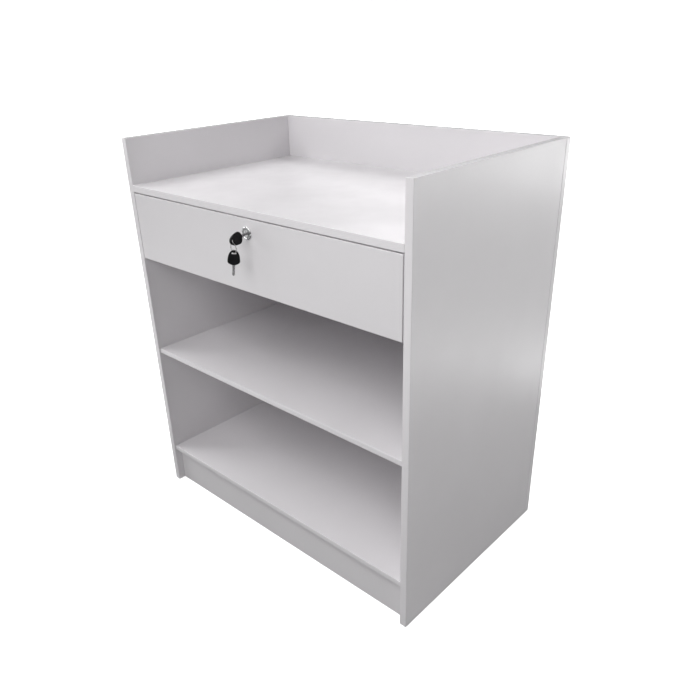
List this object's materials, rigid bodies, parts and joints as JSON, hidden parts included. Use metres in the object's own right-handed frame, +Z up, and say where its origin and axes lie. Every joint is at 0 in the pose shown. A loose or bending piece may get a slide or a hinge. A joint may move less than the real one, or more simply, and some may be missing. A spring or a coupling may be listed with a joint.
{
  "type": "checkout counter",
  "caption": "Free-standing retail checkout counter in white board: low gallery round the top, lockable drawer and open shelves on the clerk's side.",
  "frame": {"origin": "on the floor, at the middle of the footprint, with the keys that stand out of the drawer counted in", "axes": "+X to the right as seen from the clerk's side, +Y towards the customer's side, +Z up"},
  "size_m": [0.8, 0.5482, 0.9],
  "materials": {
    "laminate": "white melamine film and edge band on chipboard, low sheen",
    "hardboard": "white-faced hardboard sheet",
    "zinc": "bright zinc-plated pressed steel",
    "die_cast": "as-cast zinc alloy",
    "chrome": "polished chrome plate",
    "nickel": "nickel-plated steel, lightly worn",
    "black_plastic": "moulded black plastic"
  },
  "bodies": {
    "root": {"left_side_panel": "laminate", "right_side_panel": "laminate", "customer_panel": "laminate", "counter_top": "laminate", "middle_shelf": "laminate", "bottom_shelf": "laminate", "toe_kick": "laminate", "lock_strike_plate": "zinc", "shelf_pin_left_front": "nickel", "shelf_pin_left_rear": "nickel", "shelf_pin_right_front": "nickel", "shelf_pin_right_rear": "nickel", "counter_top_left_front_cam": "zinc", "counter_top_left_front_bolt": "zinc", "counter_top_left_rear_cam": "zinc", "counter_top_left_rear_bolt": "zinc", "counter_top_right_front_cam": "zinc", "counter_top_right_front_bolt": "zinc", "counter_top_right_rear_cam": "zinc", "counter_top_right_rear_bolt": "zinc", "bottom_shelf_left_front_cam": "zinc", "bottom_shelf_left_front_bolt": "zinc", "bottom_shelf_left_rear_cam": "zinc", "bottom_shelf_left_rear_bolt": "zinc", "bottom_shelf_right_front_cam": "zinc", "bottom_shelf_right_front_bolt": "zinc", "bottom_shelf_right_rear_cam": "zinc", "bottom_shelf_right_rear_bolt": "zinc", "left_slide_cabinet_rail": "zinc", "right_slide_cabinet_rail": "zinc"},
    "drawer": {"drawer_front": "laminate", "drawer_left_side": "laminate", "drawer_right_side": "laminate", "drawer_back": "laminate", "drawer_bottom": "hardboard", "drawer_left_cam": "zinc", "drawer_left_bolt": "zinc", "drawer_right_cam": "zinc", "drawer_right_bolt": "zinc", "left_slide_drawer_rail": "zinc", "right_slide_drawer_rail": "zinc", "lock_case": "die_cast", "lock_back_plate": "zinc", "lock_rosette": "chrome", "lock_screw_left": "zinc", "lock_screw_right": "zinc"},
    "left_middle_rail": {"left_slide_middle_rail": "zinc"},
    "left_outer_cage": {"left_slide_outer_ball_cage": "zinc"},
    "left_inner_cage": {"left_slide_inner_ball_cage": "zinc"},
    "right_middle_rail": {"right_slide_middle_rail": "zinc"},
    "right_outer_cage": {"right_slide_outer_ball_cage": "zinc"},
    "right_inner_cage": {"right_slide_inner_ball_cage": "zinc"},
    "lock_plug": {"lock_plug": "chrome"},
    "lock_bolt": {"lock_bolt": "zinc"},
    "key": {"key_blade": "nickel", "key_bow": "black_plastic"},
    "key_ring": {"split_ring": "nickel"},
    "spare_key": {"spare_key_blade": "nickel", "spare_key_bow": "black_plastic"}
  },
  "joints": [
    {"name": "drawer_slide", "type": "slide", "parent": "root", "child": "drawer", "axis": [0, -1, 0], "range_m": [0, 0.44]},
    {"name": "left_middle_rail_slide", "type": "slide", "parent": "root", "child": "left_middle_rail", "axis": [0, -1, 0], "range_m": [0, 0.22]},
    {"name": "left_outer_cage_slide", "type": "slide", "parent": "root", "child": "left_outer_cage", "axis": [0, -1, 0], "range_m": [0, 0.11]},
    {"name": "left_inner_cage_slide", "type": "slide", "parent": "root", "child": "left_inner_cage", "axis": [0, -1, 0], "range_m": [0, 0.33]},
    {"name": "right_middle_rail_slide", "type": "slide", "parent": "root", "child": "right_middle_rail", "axis": [0, -1, 0], "range_m": [0, 0.22]},
    {"name": "right_outer_cage_slide", "type": "slide", "parent": "root", "child": "right_outer_cage", "axis": [0, -1, 0], "range_m": [0, 0.11]},
    {"name": "right_inner_cage_slide", "type": "slide", "parent": "root", "child": "right_inner_cage", "axis": [0, -1, 0], "range_m": [0, 0.33]},
    {"name": "lock_turn", "type": "hinge", "parent": "drawer", "child": "lock_plug", "pos_m": [0.005, -0.2265, 0.754], "axis": [0, 1, 0], "range_deg": [0, 180]},
    {"name": "bolt_rise", "type": "slide", "parent": "drawer", "child": "lock_bolt", "axis": [0, 0, 1], "range_m": [0, 0.009]},
    {"name": "key_withdraw", "type": "slide", "parent": "lock_plug", "child": "key", "axis": [0, -0.9816, -0.1908], "range_m": [0, 0.016]},
    {"name": "ring_swing", "type": "hinge", "parent": "key", "child": "key_ring", "pos_m": [0.005, -0.26224, 0.7433], "axis": [-1, 0, 0], "range_deg": [-12, 80]},
    {"name": "spare_key_swing", "type": "hinge", "parent": "key_ring", "child": "spare_key", "pos_m": [0.005, -0.26224, 0.7233], "axis": [-0.9903, 0.1392, 0], "range_deg": [-10, 50]}
  ],
  "couplings": [
    {"joint": "left_middle_rail_slide", "follows": "drawer_slide", "ratio": 0.5},
    {"joint": "left_outer_cage_slide", "follows": "drawer_slide", "ratio": 0.25},
    {"joint": "left_inner_cage_slide", "follows": "drawer_slide", "ratio": 0.75},
    {"joint": "right_middle_rail_slide", "follows": "drawer_slide", "ratio": 0.5},
    {"joint": "right_outer_cage_slide", "follows": "drawer_slide", "ratio": 0.25},
    {"joint": "right_inner_cage_slide", "follows": "drawer_slide", "ratio": 0.75},
    {"joint": "bolt_rise", "follows": "lock_turn", "m_per_rad": 0.0028647}
  ]
}
